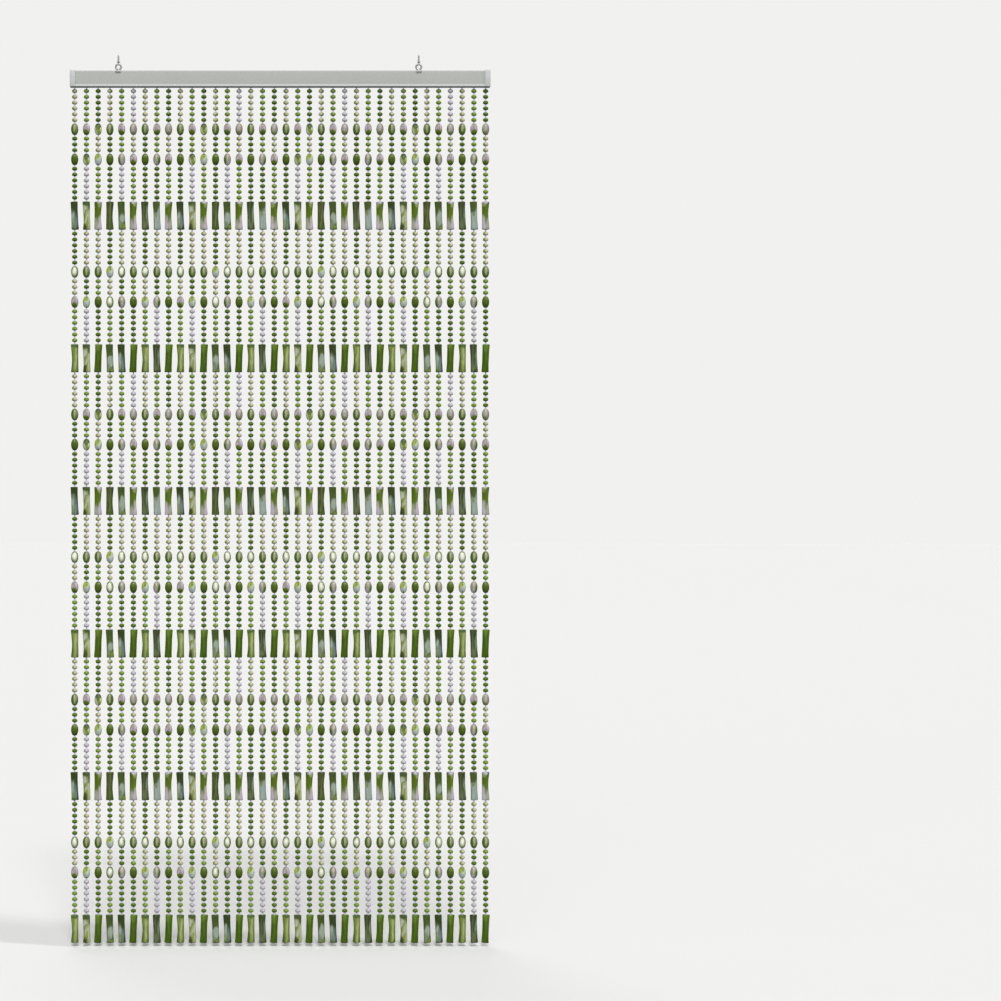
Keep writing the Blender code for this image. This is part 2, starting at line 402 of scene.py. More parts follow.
@dataclass(frozen=True)
class MarbledAcrylic:
    """Cast acrylic, swirled while soft and tumbled: glossy, with soft-edged clouds."""

    # To the eye: opaque colours that melt into each other like milk in tea, under a
    # smooth skin with one small bright highlight
    name: str
    body: str
    patches: tuple[Patch, ...]
    half_width_mm: float
    half_height_mm: float
    # How far the noise bends the clouds, its bends for each millimetre, how far they are
    # drawn out along the bead, and how strong the streaks are
    wander: float = 0.16
    swirl: float = 0.14
    draw: float = 0.7
    streaks: float = 0.12
    roughness: float = 0.19
    ior: float = 1.49
    specular: float = 0.16
    # How far apart the marblings of two beads can lie in the noise
    spread_mm: tuple[float, float, float] = (37.0, 61.0, 23.0)

    def build(self) -> bpy.types.Material:
        """Makes the material.

        Returns:
            The material, which follows each bead by its own place attribute.
        """
        material, tree, shader = new_surface(self.name)
        place, warped = self._warped_place(tree)
        colour = self._lay_patches(tree, warped)
        colour = self._streaked(tree, place, colour)
        tree.links.new(colour, shader.inputs["Base Color"])
        shader.inputs["Roughness"].default_value = self.roughness
        shader.inputs["IOR"].default_value = self.ior
        shader.inputs["Specular IOR Level"].default_value = self.specular
        return material

    def _warped_place(
        self, tree: bpy.types.NodeTree
    ) -> tuple[bpy.types.NodeSocket, bpy.types.NodeSocket]:
        """Reads the place inside the bead and bends it with noise.

        Args:
            tree: The material's node tree.

        Returns:
            The place in millimetres with a shift of its own for each bead, and the
            bent place in shares of the bead's half width and half height.
        """
        place = add_node(tree, "ShaderNodeAttribute", attribute_name=PLACE_ATTRIBUTE)
        key = add_node(tree, "ShaderNodeAttribute", attribute_name=KEY_ATTRIBUTE)
        shift = add_node(
            tree,
            "ShaderNodeVectorMath",
            {0: key.outputs["Vector"], 1: self.spread_mm},
            operation="MULTIPLY",
        )
        own = add_node(
            tree,
            "ShaderNodeVectorMath",
            {0: place.outputs["Vector"], 1: shift.outputs[0]},
            operation="ADD",
        )
        drawn = add_node(
            tree,
            "ShaderNodeVectorMath",
            {0: own.outputs[0], 1: (1.0, 1.0, self.draw)},
            operation="MULTIPLY",
        )
        noise = add_node(
            tree,
            "ShaderNodeTexNoise",
            {"Vector": drawn.outputs[0], "Scale": self.swirl, "Detail": 1.0, "Roughness": 0.4},
        )
        centred = add_node(
            tree,
            "ShaderNodeVectorMath",
            {0: noise.outputs["Color"], 1: (0.5, 0.5, 0.5)},
            operation="SUBTRACT",
        )
        # Noise strays from its middle by about a quarter, so four times that is about one
        bend = add_node(
            tree,
            "ShaderNodeVectorMath",
            {0: centred.outputs[0], "Scale": self.wander * 4},
            operation="SCALE",
        )
        share = add_node(
            tree,
            "ShaderNodeVectorMath",
            {0: place.outputs["Vector"], 1: (1 / self.half_width_mm, 0.0, 1 / self.half_height_mm)},
            operation="MULTIPLY",
        )
        warped = add_node(
            tree,
            "ShaderNodeVectorMath",
            {0: share.outputs[0], 1: bend.outputs[0]},
            operation="ADD",
        )
        flat = add_node(
            tree,
            "ShaderNodeVectorMath",
            {0: warped.outputs[0], 1: (1.0, 0.0, 1.0)},
            operation="MULTIPLY",
        )
        return own.outputs[0], flat.outputs[0]

    def _lay_patches(
        self, tree: bpy.types.NodeTree, warped: bpy.types.NodeSocket
    ) -> bpy.types.NodeSocket:
        """Lays the patches over the body colour, one after another.

        Args:
            tree: The material's node tree.
            warped: The bent place in shares.

        Returns:
            The colour with all patches laid in.
        """
        start = add_node(tree, "ShaderNodeRGB")
        start.outputs[0].default_value = linear(self.body)
        colour = start.outputs[0]
        for patch in self.patches:
            local = add_node(
                tree,
                "ShaderNodeMapping",
                {
                    "Vector": warped,
                    "Location": (patch.across, 0.0, patch.up),
                    "Rotation": (0.0, math.radians(patch.lean), 0.0),
                    "Scale": (patch.width, 1.0, patch.height),
                },
                vector_type="TEXTURE",
            )
            reach = add_node(
                tree, "ShaderNodeVectorMath", {0: local.outputs[0]}, operation="LENGTH"
            )
            cover = add_node(
                tree,
                "ShaderNodeMapRange",
                {
                    "Value": reach.outputs["Value"],
                    "From Min": 1 - patch.edge,
                    "From Max": 1 + patch.edge,
                    "To Min": 1.0,
                    "To Max": 0.0,
                },
                interpolation_type="SMOOTHSTEP",
            )
            laid = add_node(
                tree,
                "ShaderNodeMix",
                {0: cover.outputs["Result"], 6: colour, 7: linear(patch.colour)},
                data_type="RGBA",
            )
            colour = laid.outputs[2]
        return colour

    def _streaked(
        self, tree: bpy.types.NodeTree, place: bpy.types.NodeSocket, colour: bpy.types.NodeSocket
    ) -> bpy.types.NodeSocket:
        """Draws fine pale and dark streaks along the bead, as the swirl leaves them.

        Args:
            tree: The material's node tree.
            place: The place in millimetres.
            colour: The colour so far.

        Returns:
            The streaked colour.
        """
        drawn_out = add_node(
            tree,
            "ShaderNodeMapping",
            {"Vector": place, "Rotation": (0.0, 0.2, 0.0), "Scale": (0.5, 0.5, 0.06)},
        )
        grain = add_node(
            tree,
            "ShaderNodeTexNoise",
            {"Vector": drawn_out.outputs[0], "Scale": 1.0, "Detail": 3.0, "Roughness": 0.5},
        )
        strength = add_node(
            tree,
            "ShaderNodeMapRange",
            {
                "Value": grain.outputs["Fac"],
                "From Min": 0.3,
                "From Max": 0.7,
                "To Min": 1 - self.streaks,
                "To Max": 1 + self.streaks,
            },
        )
        shaded = add_node(
            tree,
            "ShaderNodeVectorMath",
            {0: colour, "Scale": strength.outputs["Result"]},
            operation="SCALE",
        )
        return shaded.outputs[0]


class BeadKind(Enum):
    """A kind of bead, with its half width and half height in millimetres."""

    SMALL = (5.95, 4.1)
    OVAL = (8.2, 12.6)
    TUBE = (8.4, 31.0)


def acrylic(
    kind: BeadKind, name: str, body: str, *patches: Patch, **traits: float
) -> MarbledAcrylic:
    """Describes the acrylic of one kind of bead.

    Args:
        kind: The bead that it is for.
        name: The colours in words.
        body: The colour of the bead's body.
        *patches: Clouds over the body, the last on top.
        **traits: Other fields of the finish.

    Returns:
        The finish.
    """
    return MarbledAcrylic("acrylic_" + name, body, patches, *kind.value, **traits)


SMALL_FINISHES = {
    "D": acrylic(
        BeadKind.SMALL,
        "deep_green",
        "#4F6B18",
        # Painted shade: a darker patch over the bead's lower part
        Patch("#3E580C", 0.0, -0.9, 1.2, 0.5, 0.5),
        streaks=0.08,
    ),
    "M": acrylic(
        BeadKind.SMALL,
        "leaf_green",
        "#6B8528",
        # Painted highlight: a lighter patch on the upper right, where the light falls
        Patch("#77943C", 0.35, 0.2, 0.5, 0.7, 0.6),
        streaks=0.08,
    ),
    "P": acrylic(
        BeadKind.SMALL,
        "green_and_pearl",
        "#7C8F3C",
        Patch("#B4B193", 0.62, 0.0, 0.82, 1.8, 0.4),
        Patch("#BCAE9E", 0.75, 0.1, 0.35, 0.8, 0.6),
        wander=0.1,
        streaks=0.06,
    ),
    "W": acrylic(
        BeadKind.SMALL,
        "lilac_pearl",
        "#A2AC8F",
        Patch("#B3ABB5", 0.2, 0.0, 0.6, 1.8, 0.5),
        Patch("#BBAFC9", 0.75, 0.05, 0.55, 1.4, 0.5),
        wander=0.1,
        streaks=0.05,
    ),
}

OVAL_FINISHES = {
    "S": acrylic(
        BeadKind.OVAL,
        "green_with_pearl_stripe",
        "#4B661A",
        Patch("#797F5D", 0.62, 0.42, 0.9, 0.55, 0.2),
        Patch("#597325", 0.62, -0.5, 0.42, 0.42, 0.35),
        Patch("#98977B", 0.0, 0.14, 0.27, 0.8, 0.4),
        Patch("#697939", 0.0, 1.08, 1.2, 0.18, 0.5),
        # Painted shade: a darker band along the bead's bottom
        Patch("#445F0F", 0.0, -1.02, 1.2, 0.3, 0.5),
        wander=0.11,
    ),
    "L": acrylic(
        BeadKind.OVAL,
        "lilac_over_green",
        "#918B7D",
        Patch("#AFA0AF", -0.65, 0.05, 0.42, 0.42, 0.5),
        Patch("#B7ABC9", 0.6, 0.42, 0.2, 0.7, 0.5, -8),
        Patch("#AF9A9E", 1.0, -0.1, 0.25, 0.7, 0.5),
        Patch("#556C15", -0.2, -0.9, 1.0, 0.72, 0.1),
        Patch("#5B701A", -0.22, -0.24, 0.24, 0.2, 0.3),
        # Painted shade: a darker band along the bead's bottom
        Patch("#435A0B", -0.1, -1.0, 1.0, 0.38, 0.5),
        wander=0.11,
    ),
    "Y": acrylic(
        BeadKind.OVAL,
        "capped_yellow_green",
        "#B1B8AD",
        Patch("#BDD1A5", 0.95, -0.05, 0.32, 0.46, 0.5),
        Patch("#84932F", 0.1, -0.28, 0.42, 1.05, 0.3, -33),
        Patch("#8D9E3F", 0.62, -0.66, 0.25, 0.22, 0.5),
        Patch("#576436", 0.08, 0.62, 0.85, 0.48, 0.22),
        Patch("#5E6826", 0.1, 0.12, 0.4, 0.3, 0.45),
        Patch("#425534", 0.15, 0.95, 1.0, 0.42, 0.4),
        wander=0.12,
    ),
    "G": acrylic(
        BeadKind.OVAL,
        "grey_lilac",
        "#989E83",
        Patch("#8E8875", 0.65, 0.05, 0.65, 1.1, 0.4),
        Patch("#A799A6", 0.05, 0.3, 0.26, 0.75, 0.6),
        Patch("#697844", -0.98, -0.3, 0.32, 0.8, 0.5),
        Patch("#6F7748", -0.25, -0.85, 0.9, 0.42, 0.5),
    ),
    "O": acrylic(
        BeadKind.OVAL,
        "olive_green",
        "#495C18",
        # Painted light: a lighter patch at the top, and painted shade in a darker patch at the
        # bottom
        Patch("#5D6D2F", 0.1, 0.75, 0.8, 0.4, 0.7),
        Patch("#3F510E", 0.0, -0.95, 1.2, 0.5, 0.5),
        streaks=0.06,
    ),
    "F": acrylic(
        BeadKind.OVAL,
        "yellow_green_on_white",
        "#AFBBAA",
        Patch("#A0A8A6", -0.25, -0.45, 0.5, 0.35, 0.6),
        Patch("#99A74B", -0.45, 0.55, 1.15, 0.62, 0.28, -24),
        Patch("#6C7A34", 0.05, 0.72, 0.28, 0.5, 0.5),
        # Painted highlight: a pale aqua streak near the top of the right flank
        Patch("#B5CBA0", 0.85, 0.5, 0.2, 0.4, 0.5),
        Patch("#5C7122", 0.02, -0.98, 0.26, 0.24),
        wander=0.12,
    ),
    "E": acrylic(
        BeadKind.OVAL,
        "grey_with_green_flank",
        "#8B8D73",
        Patch("#7C8557", -0.65, 0.5, 0.35, 0.7, 0.5),
        Patch("#B1A2A4", 0.1, 0.5, 0.28, 0.5, 0.6),
        Patch("#A59CA7", 0.25, -0.7, 0.42, 0.5, 0.6),
        Patch("#4E6A15", -0.82, -0.42, 0.52, 0.75, 0.25),
    ),
    "C": acrylic(
        BeadKind.OVAL,
        "cream_heart",
        "#495D27",
        Patch("#A5B182", 0.0, 0.05, 0.8, 0.85, 0.35),
        Patch("#DEDECF", 0.0, 0.15, 0.52, 0.6, 0.45),
    ),
}

TUBE_FINISHES = {
    "B": acrylic(
        BeadKind.TUBE,
        "dark_green_blue_heart",
        "#37441C",
        Patch("#334325", 0.75, 0.5, 0.5, 0.8, 0.5),
        Patch("#919F88", -0.4, -0.1, 0.42, 0.4, 0.6, 8),
        Patch("#657777", 0.28, -0.5, 0.4, 0.55, 0.7),
        Patch("#79864B", -0.6, -0.66, 0.42, 0.36, 0.5),
        Patch("#4C681D", -0.6, -0.98, 0.6, 0.14, 0.5),
        swirl=0.08,
    ),
    "V": acrylic(
        BeadKind.TUBE,
        "pale_green_veined",
        "#838C51",
        Patch("#ADB585", 0.85, -0.2, 0.38, 1.1, 0.5),
        Patch("#A3AB94", -0.3, 0.35, 0.6, 0.3, 0.5, 14),
        Patch("#717A2D", -0.45, 0.04, 0.8, 0.13, 0.6, -20),
        Patch("#A3AB96", 0.2, -0.15, 0.6, 0.1, 0.6, -22),
        Patch("#3E4A1D", -0.45, -0.86, 0.62, 0.34, 0.35, -10),
        Patch("#44532B", 0.1, 0.96, 1.5, 0.26, 0.35),
        Patch("#4A5A2F", 0.85, 0.66, 0.4, 0.32, 0.5),
        swirl=0.08,
    ),
    "R": acrylic(
        BeadKind.TUBE,
        "green_lilac_ends",
        "#566E16",
        Patch("#969985", -0.5, -0.82, 0.7, 0.52, 0.45),
        Patch("#A3A094", 0.7, -0.32, 0.55, 0.3, 0.5),
        Patch("#ADA6B6", 0.6, -0.74, 0.5, 0.45, 0.4, 8),
        Patch("#B79EAB", 0.45, -0.42, 0.14, 0.2, 0.8),
        Patch("#B59AAB", 0.3, -0.86, 0.2, 0.1, 0.8, -14),
        Patch("#979F69", 0.6, 0.8, 0.55, 0.2, 0.6),
        Patch("#B5B0BC", 0.3, 1.0, 0.85, 0.15, 0.4),
        wander=0.12,
        swirl=0.09,
    ),
    "K": acrylic(
        BeadKind.TUBE,
        "dark_olive_streaked",
        "#485128",
        Patch("#5F6C38", 0.05, -0.1, 0.16, 1.1, 0.6, 10),
        Patch("#5A6138", -0.5, 0.4, 0.3, 0.4, 0.6),
        Patch("#344421", 0.95, -0.2, 0.35, 0.9, 0.5),
        Patch("#445A21", 0.4, -0.88, 0.6, 0.25, 0.6),
        swirl=0.08,
        streaks=0.25,
    ),
    "H": acrylic(
        BeadKind.TUBE,
        "green_hazy_flank",
        "#465826",
        Patch("#8C9B88", 0.1, -0.22, 0.75, 0.42, 0.35, -8),
        Patch("#6C7A5F", -0.4, -0.66, 0.55, 0.3, 0.5),
        Patch("#3B4F1F", 0.6, 0.8, 0.5, 0.3, 0.6),
        Patch("#707F2C", 0.75, -0.87, 0.6, 0.2, 0.4),
        swirl=0.08,
    ),
    "J": acrylic(
        BeadKind.TUBE,
        "dark_jade",
        "#3B4722",
        Patch("#545D3F", -0.35, 0.1, 0.25, 0.9, 0.6),
        Patch("#586342", -0.2, -0.65, 0.8, 0.3, 0.6),
        # Painted highlight: a pale patch on the right flank
        Patch("#697B60", 0.5, 0.05, 0.28, 0.5, 0.6, -8),
        swirl=0.08,
        streaks=0.25,
    ),
    "M": acrylic(
        BeadKind.TUBE,
        "green_over_mist",
        "#8B9991",
        Patch("#768043", -0.95, -0.6, 0.35, 0.7, 0.5),
        Patch("#485825", -0.15, 0.9, 1.4, 0.62, 0.3, -12),
        Patch("#737C3E", -0.2, 0.1, 0.3, 0.2, 0.6),
        swirl=0.08,
    ),
    "N": acrylic(
        BeadKind.TUBE,
        "bright_green",
        "#486411",
        # Painted light: a lighter patch at the top, and painted shade in a darker patch low on the
        # right
        Patch("#5B7622", -0.2, 0.8, 0.8, 0.3, 0.6),
        Patch("#3B530C", 0.5, -0.7, 0.6, 0.4, 0.6),
        swirl=0.08,
    ),
    "Q": acrylic(
        BeadKind.TUBE,
        "light_green_streaked",
        "#6D7F39",
        Patch("#9AA366", 0.3, 0.1, 0.3, 0.9, 0.6, 6),
        Patch("#536928", -0.7, -0.3, 0.3, 0.9, 0.5),
        Patch("#4A5F2A", 0.0, 0.95, 1.2, 0.18, 0.4),
        swirl=0.08,
        streaks=0.25,
    ),
}


@dataclass(frozen=True)
class PowderCoat:
    """Sprayed and baked paint, or moulded styrene, which is close to it: even and satin."""

    # To the eye: one plain colour with a broad soft sheen, which a faint orange peel breaks
    name: str
    colour: str
    roughness: float = 0.42
    peel_mm: float = 1.4
    peel_depth_mm: float = 0.02
    # Colour of a lighter band along the lip: a painted highlight where the lip catches the light
    lip_painted_highlight: str = ""
    lip_top: float = 0.0
    lip_blend_mm: float = 0.4

    def build(self) -> bpy.types.Material:
        """Makes the material.

        Returns:
            The material.
        """
        material, tree, shader = new_surface(self.name)
        place = add_node(tree, "ShaderNodeTexCoord")
        peel = add_node(
            tree,
            "ShaderNodeTexNoise",
            {"Vector": place.outputs["Object"], "Scale": 1 / (self.peel_mm * MM), "Detail": 2.0},
        )
        # Fourteen clouds a metre, as wide as a hand, tint the colour and dull the sheen
        wear = add_node(
            tree,
            "ShaderNodeTexNoise",
            {"Vector": place.outputs["Object"], "Scale": 14.0, "Detail": 5.0, "Roughness": 0.6},
        )
        tint = add_node(
            tree,
            "ShaderNodeMapRange",
            {"Value": wear.outputs["Fac"], "To Min": 0.93, "To Max": 1.05},
        )
        colour = add_node(
            tree,
            "ShaderNodeVectorMath",
            {0: self._tone(tree, place.outputs["Object"]), "Scale": tint.outputs["Result"]},
            operation="SCALE",
        )
        dull = add_node(
            tree,
            "ShaderNodeMapRange",
            {
                "Value": wear.outputs["Fac"],
                "To Min": self.roughness - 0.07,
                "To Max": self.roughness + 0.1,
            },
        )
        bump = add_node(
            tree,
            "ShaderNodeBump",
            {"Height": peel.outputs["Fac"], "Strength": 0.35, "Distance": self.peel_depth_mm * MM},
        )
        tree.links.new(colour.outputs[0], shader.inputs["Base Color"])
        tree.links.new(dull.outputs["Result"], shader.inputs["Roughness"])
        tree.links.new(bump.outputs["Normal"], shader.inputs["Normal"])
        return material

    def _tone(
        self, tree: bpy.types.NodeTree, place: bpy.types.NodeSocket
    ) -> bpy.types.NodeSocket | tuple[float, float, float]:
        """Gives the paint's colour, with a lighter painted highlight on the lip below, where there
        is one.

        Args:
            tree: The material's node tree.
            place: The place on the object.

        Returns:
            One colour, or the output that changes it at the lip's top.
        """
        if not self.lip_painted_highlight:
            return linear(self.colour)[:3]
        height = add_node(tree, "ShaderNodeSeparateXYZ", {0: place})
        below = add_node(
            tree,
            "ShaderNodeMapRange",
            {
                "Value": height.outputs["Z"],
                "From Min": self.lip_top,
                "From Max": self.lip_top - self.lip_blend_mm * MM,
            },
        )
        tone = add_node(
            tree,
            "ShaderNodeMix",
            {0: below.outputs["Result"], 6: linear(self.colour), 7: linear(self.lip_painted_highlight)},
            data_type="RGBA",
        )
        return tone.outputs[2]


@dataclass(frozen=True)
class ZincPlate:
    """Bent steel wire and strip with a dull zinc plating: grey, a little blotchy."""

    # To the eye: a metal that blurs what it mirrors. The crystals of the plating are
    # drawn coarser than real ones, so that the blotches show.
    name: str
    colour: str = "#CBCCC8"
    roughness: float = 0.55
    spangle_mm: float = 2.5

    def build(self) -> bpy.types.Material:
        """Makes the material.

        Returns:
            The material.
        """
        material, tree, shader = new_surface(self.name)
        place = add_node(tree, "ShaderNodeTexCoord")
        spangle = add_node(
            tree,
            "ShaderNodeTexVoronoi",
            {"Vector": place.outputs["Object"], "Scale": 1 / (self.spangle_mm * MM)},
        )
        # A haze of about a millimetre, nine hundred to the metre
        haze = add_node(
            tree,
            "ShaderNodeTexNoise",
            {"Vector": place.outputs["Object"], "Scale": 900.0, "Detail": 4.0},
        )
        dull = add_node(
            tree,
            "ShaderNodeMapRange",
            {
                "Value": haze.outputs["Fac"],
                "To Min": self.roughness - 0.12,
                "To Max": self.roughness + 0.15,
            },
        )
        tint = add_node(
            tree,
            "ShaderNodeMapRange",
            {"Value": spangle.outputs["Distance"], "To Min": 1.05, "To Max": 0.82},
        )
        colour = add_node(
            tree,
            "ShaderNodeVectorMath",
            {0: linear(self.colour)[:3], "Scale": tint.outputs["Result"]},
            operation="SCALE",
        )
        tree.links.new(colour.outputs[0], shader.inputs["Base Color"])
        tree.links.new(dull.outputs["Result"], shader.inputs["Roughness"])
        shader.inputs["Metallic"].default_value = 1.0
        return material


@dataclass(frozen=True)
class TwistedCord:
    """Clear nylon line twisted from two plies: milky grey, with painted shade in the seams between
    the plies.
    """

    # To the eye: a pale, shiny line with painted shade winding round it in the seams between its
    # plies
    name: str = "nylon_clear_twisted"
    pale: str = "#EFEEEF"
    # Painted shade for the seams between the plies, laid along the twist and broken by random flaws
    dark: str = "#A9A7AC"
    turn_mm: float = 7.0
    roughness: float = 0.2
    ior: float = 1.53
    # How far apart the flaws of two stretches can lie in the noise
    spread_mm: tuple[float, float, float] = (11.0, 29.0, 17.0)

    def build(self) -> bpy.types.Material:
        """Makes the material.

        Returns:
            The material.
        """
        material, tree, shader = new_surface(self.name)
        place = add_node(tree, "ShaderNodeAttribute", attribute_name=PLACE_ATTRIBUTE)
        parts = add_node(tree, "ShaderNodeSeparateXYZ", {0: place.outputs["Vector"]})
        angle = add_node(
            tree,
            "ShaderNodeMath",
            {0: parts.outputs["Y"], 1: parts.outputs["X"]},
            operation="ARCTAN2",
        )
        climb = add_node(
            tree,
            "ShaderNodeMath",
            {0: parts.outputs["Z"], 1: math.pi / self.turn_mm, 2: angle.outputs[0]},
            operation="MULTIPLY_ADD",
        )
        doubled = add_node(
            tree, "ShaderNodeMath", {0: climb.outputs[0], 1: 2.0}, operation="MULTIPLY"
        )
        turns = add_node(tree, "ShaderNodeMath", {0: doubled.outputs[0]}, operation="SINE")
        key = add_node(tree, "ShaderNodeAttribute", attribute_name=KEY_ATTRIBUTE)
        shift = add_node(
            tree,
            "ShaderNodeVectorMath",
            {0: key.outputs["Vector"], 1: self.spread_mm},
            operation="MULTIPLY",
        )
        own = add_node(
            tree,
            "ShaderNodeVectorMath",
            {0: place.outputs["Vector"], 1: shift.outputs[0]},
            operation="ADD",
        )
        flaws = add_node(
            tree, "ShaderNodeTexNoise", {"Vector": own.outputs[0], "Scale": 0.5, "Detail": 3.0}
        )
        mixed = add_node(
            tree,
            "ShaderNodeMath",
            {0: turns.outputs[0], 1: 0.32, 2: flaws.outputs["Fac"]},
            operation="MULTIPLY_ADD",
        )
        # The twist's sine sets where the painted seam shade falls
        ramp = add_node(tree, "ShaderNodeValToRGB", {"Fac": mixed.outputs[0]})
        stops = ((0.2, self.dark), (0.62, self.pale))
        for element, (position, colour) in zip(ramp.color_ramp.elements, stops):
            element.position = position
            element.color = linear(colour)
        tree.links.new(ramp.outputs["Color"], shader.inputs["Base Color"])
        shader.inputs["Roughness"].default_value = self.roughness
        shader.inputs["IOR"].default_value = self.ior
        return material


@dataclass(frozen=True)
class WovenTape:
    """Stiff woven polyester tape: dull off-white with a fine plain weave."""

    # To the eye: matt cloth with no highlight. It lies hidden in the rail, and its
    # threads are drawn a little coarser than real ones, so that the weave shows.
    name: str = "polyester_tape"
    colour: str = "#C9C7C0"
    weft: str = "#A9A79F"
    thread_mm: float = 0.8

    def build(self) -> bpy.types.Material:
        """Makes the material.

        Returns:
            The material.
        """
        material, tree, shader = new_surface(self.name)
        place = add_node(tree, "ShaderNodeTexCoord")
        weave = add_node(
            tree,
            "ShaderNodeTexChecker",
            {
                "Vector": place.outputs["Object"],
                "Scale": 1 / (self.thread_mm * MM),
                "Color1": linear(self.colour),
                "Color2": linear(self.weft),
            },
        )
        bump = add_node(
            tree,
            "ShaderNodeBump",
            {"Height": weave.outputs["Fac"], "Strength": 0.4, "Distance": 0.1 * MM},
        )
        tree.links.new(weave.outputs["Color"], shader.inputs["Base Color"])
        tree.links.new(bump.outputs["Normal"], shader.inputs["Normal"])
        shader.inputs["Roughness"].default_value = 0.85
        return material


@dataclass(frozen=True)
class Placement:
    """Where one copy goes: its middle, its turn, and whether its colours are mirrored."""

    x: float
    z: float
    turn: float = 0.0
    mirrored: bool = False


def joined_copies(
    name: str, pattern: bpy.types.Mesh, placements: list[Placement], seed: int
) -> bpy.types.Object:
    """Copies a shape to many places and joins the copies into one mesh.

    Args:
        name: The new object's name.
        pattern: The shape, modelled once round the origin.
        placements: Where the copies go.
        seed: Seeds the number that sets each copy's marbling apart.

    Returns:
        One object, whose points carry their place inside their own copy, in
        millimetres as seen from the front, and a number for each copy.
    """
    points = np.empty(len(pattern.vertices) * 3, np.float32)
    pattern.vertices.foreach_get("co", points)
    points = points.reshape(-1, 3)
    corners = np.empty(len(pattern.loops), np.int32)
    pattern.loops.foreach_get("vertex_index", corners)
    starts = np.empty(len(pattern.polygons), np.int32)
    pattern.polygons.foreach_get("loop_start", starts)

    count = len(placements)
    turns = np.array([p.turn for p in placements])[:, None]
    local = np.empty((count, len(points), 3), np.float32)
    local[..., 0] = points[:, 0] * np.cos(turns) - points[:, 1] * np.sin(turns)
    local[..., 1] = points[:, 0] * np.sin(turns) + points[:, 1] * np.cos(turns)
    local[..., 2] = points[:, 2]
    middles = np.array([(p.x, 0.0, p.z) for p in placements], np.float32)[:, None, :]
    placed = local + middles
    seen = local / MM
    seen[..., 0] *= np.array([-1.0 if p.mirrored else 1.0 for p in placements])[:, None]
    keys = np.random.default_rng(seed).random(count).astype(np.float32)

    mesh = bpy.data.meshes.new(name)
    mesh.vertices.add(placed.size // 3)
    mesh.vertices.foreach_set("co", placed.ravel())
    mesh.loops.add(count * len(corners))
    steps = np.arange(count, dtype=np.int32)[:, None]
    mesh.loops.foreach_set("vertex_index", (corners + steps * len(points)).ravel())
    mesh.polygons.add(count * len(starts))
    mesh.polygons.foreach_set("loop_start", (starts + steps * len(corners)).ravel())
    mesh.update(calc_edges=True)
    place = mesh.attributes.new(PLACE_ATTRIBUTE, "FLOAT_VECTOR", "POINT")
    place.data.foreach_set("vector", seen.astype(np.float32).ravel())
    key = mesh.attributes.new(KEY_ATTRIBUTE, "FLOAT", "POINT")
    key.data.foreach_set("value", np.repeat(keys, len(points)))
    piece = bpy.data.objects.new(name, mesh)
    bpy.context.scene.collection.objects.link(piece)
    return piece


@dataclass
class SmallBead:
    """A short round bead with well rounded rims."""

    radius: float = 5.95 * MM
    length: float = 8.2 * MM
    rim: float = 3.55 * MM
    rim_steps: int = 3
    sides: int = 10
    smooth_degrees: float = 60

    def model(self) -> bpy.types.Mesh:
        """Models the bead once, round the origin.

        Returns:
            The bead's mesh.
        """
        begin_piece()
        bpy.ops.mesh.primitive_cylinder_add(
            vertices=self.sides,
            radius=self.radius,
            depth=self.length,
            rotation=(0, 0, math.radians(90)),
        )
        piece = bpy.context.object
        settle(piece)
        bpy.ops.object.mode_set(mode="EDIT")
        pick(Mode.EDGES, level_edge)
        bpy.ops.mesh.bevel(offset=self.rim, segments=self.rim_steps, profile=0.5)
        return take_mesh(piece)


@dataclass
class OvalBead:
    """A long oval bead with small flat ends and a mouth for the cord in each."""

    radius: float = 8.2 * MM
    full_half_length: float = 13.85 * MM
    half_length: float = 12.6 * MM
    rim: float = 1.3 * MM
    mouth_step: float = 0.4 * MM
    mouth_depth: float = 1.2 * MM
    sides: int = 14
    rings: int = 12
    smooth_degrees: float = 60

    def model(self) -> bpy.types.Mesh:
        """Models the bead once, round the origin.

        Returns:
            The bead's mesh.
        """
        begin_piece()
        bpy.ops.mesh.primitive_uv_sphere_add(
            segments=self.sides, ring_count=self.rings, radius=self.radius
        )
        piece = bpy.context.object
        edit_all()
        scale_about((1, 1, self.full_half_length / self.radius))
        for way in (1, -1):
            bpy.ops.mesh.select_all(action="SELECT")
            bpy.ops.mesh.bisect(
                plane_co=(0, 0, way * self.half_length),
                plane_no=(0, 0, way),
                use_fill=True,
                clear_outer=True,
            )
        pick(Mode.EDGES, lambda edge: rim_edge(edge, self.half_length))
        bpy.ops.mesh.bevel(offset=self.rim, segments=2, profile=0.5)
        pick(Mode.FACES, end_face)
        bpy.ops.mesh.inset(thickness=self.mouth_step, depth=-self.mouth_depth, use_individual=True)
        return take_mesh(piece)


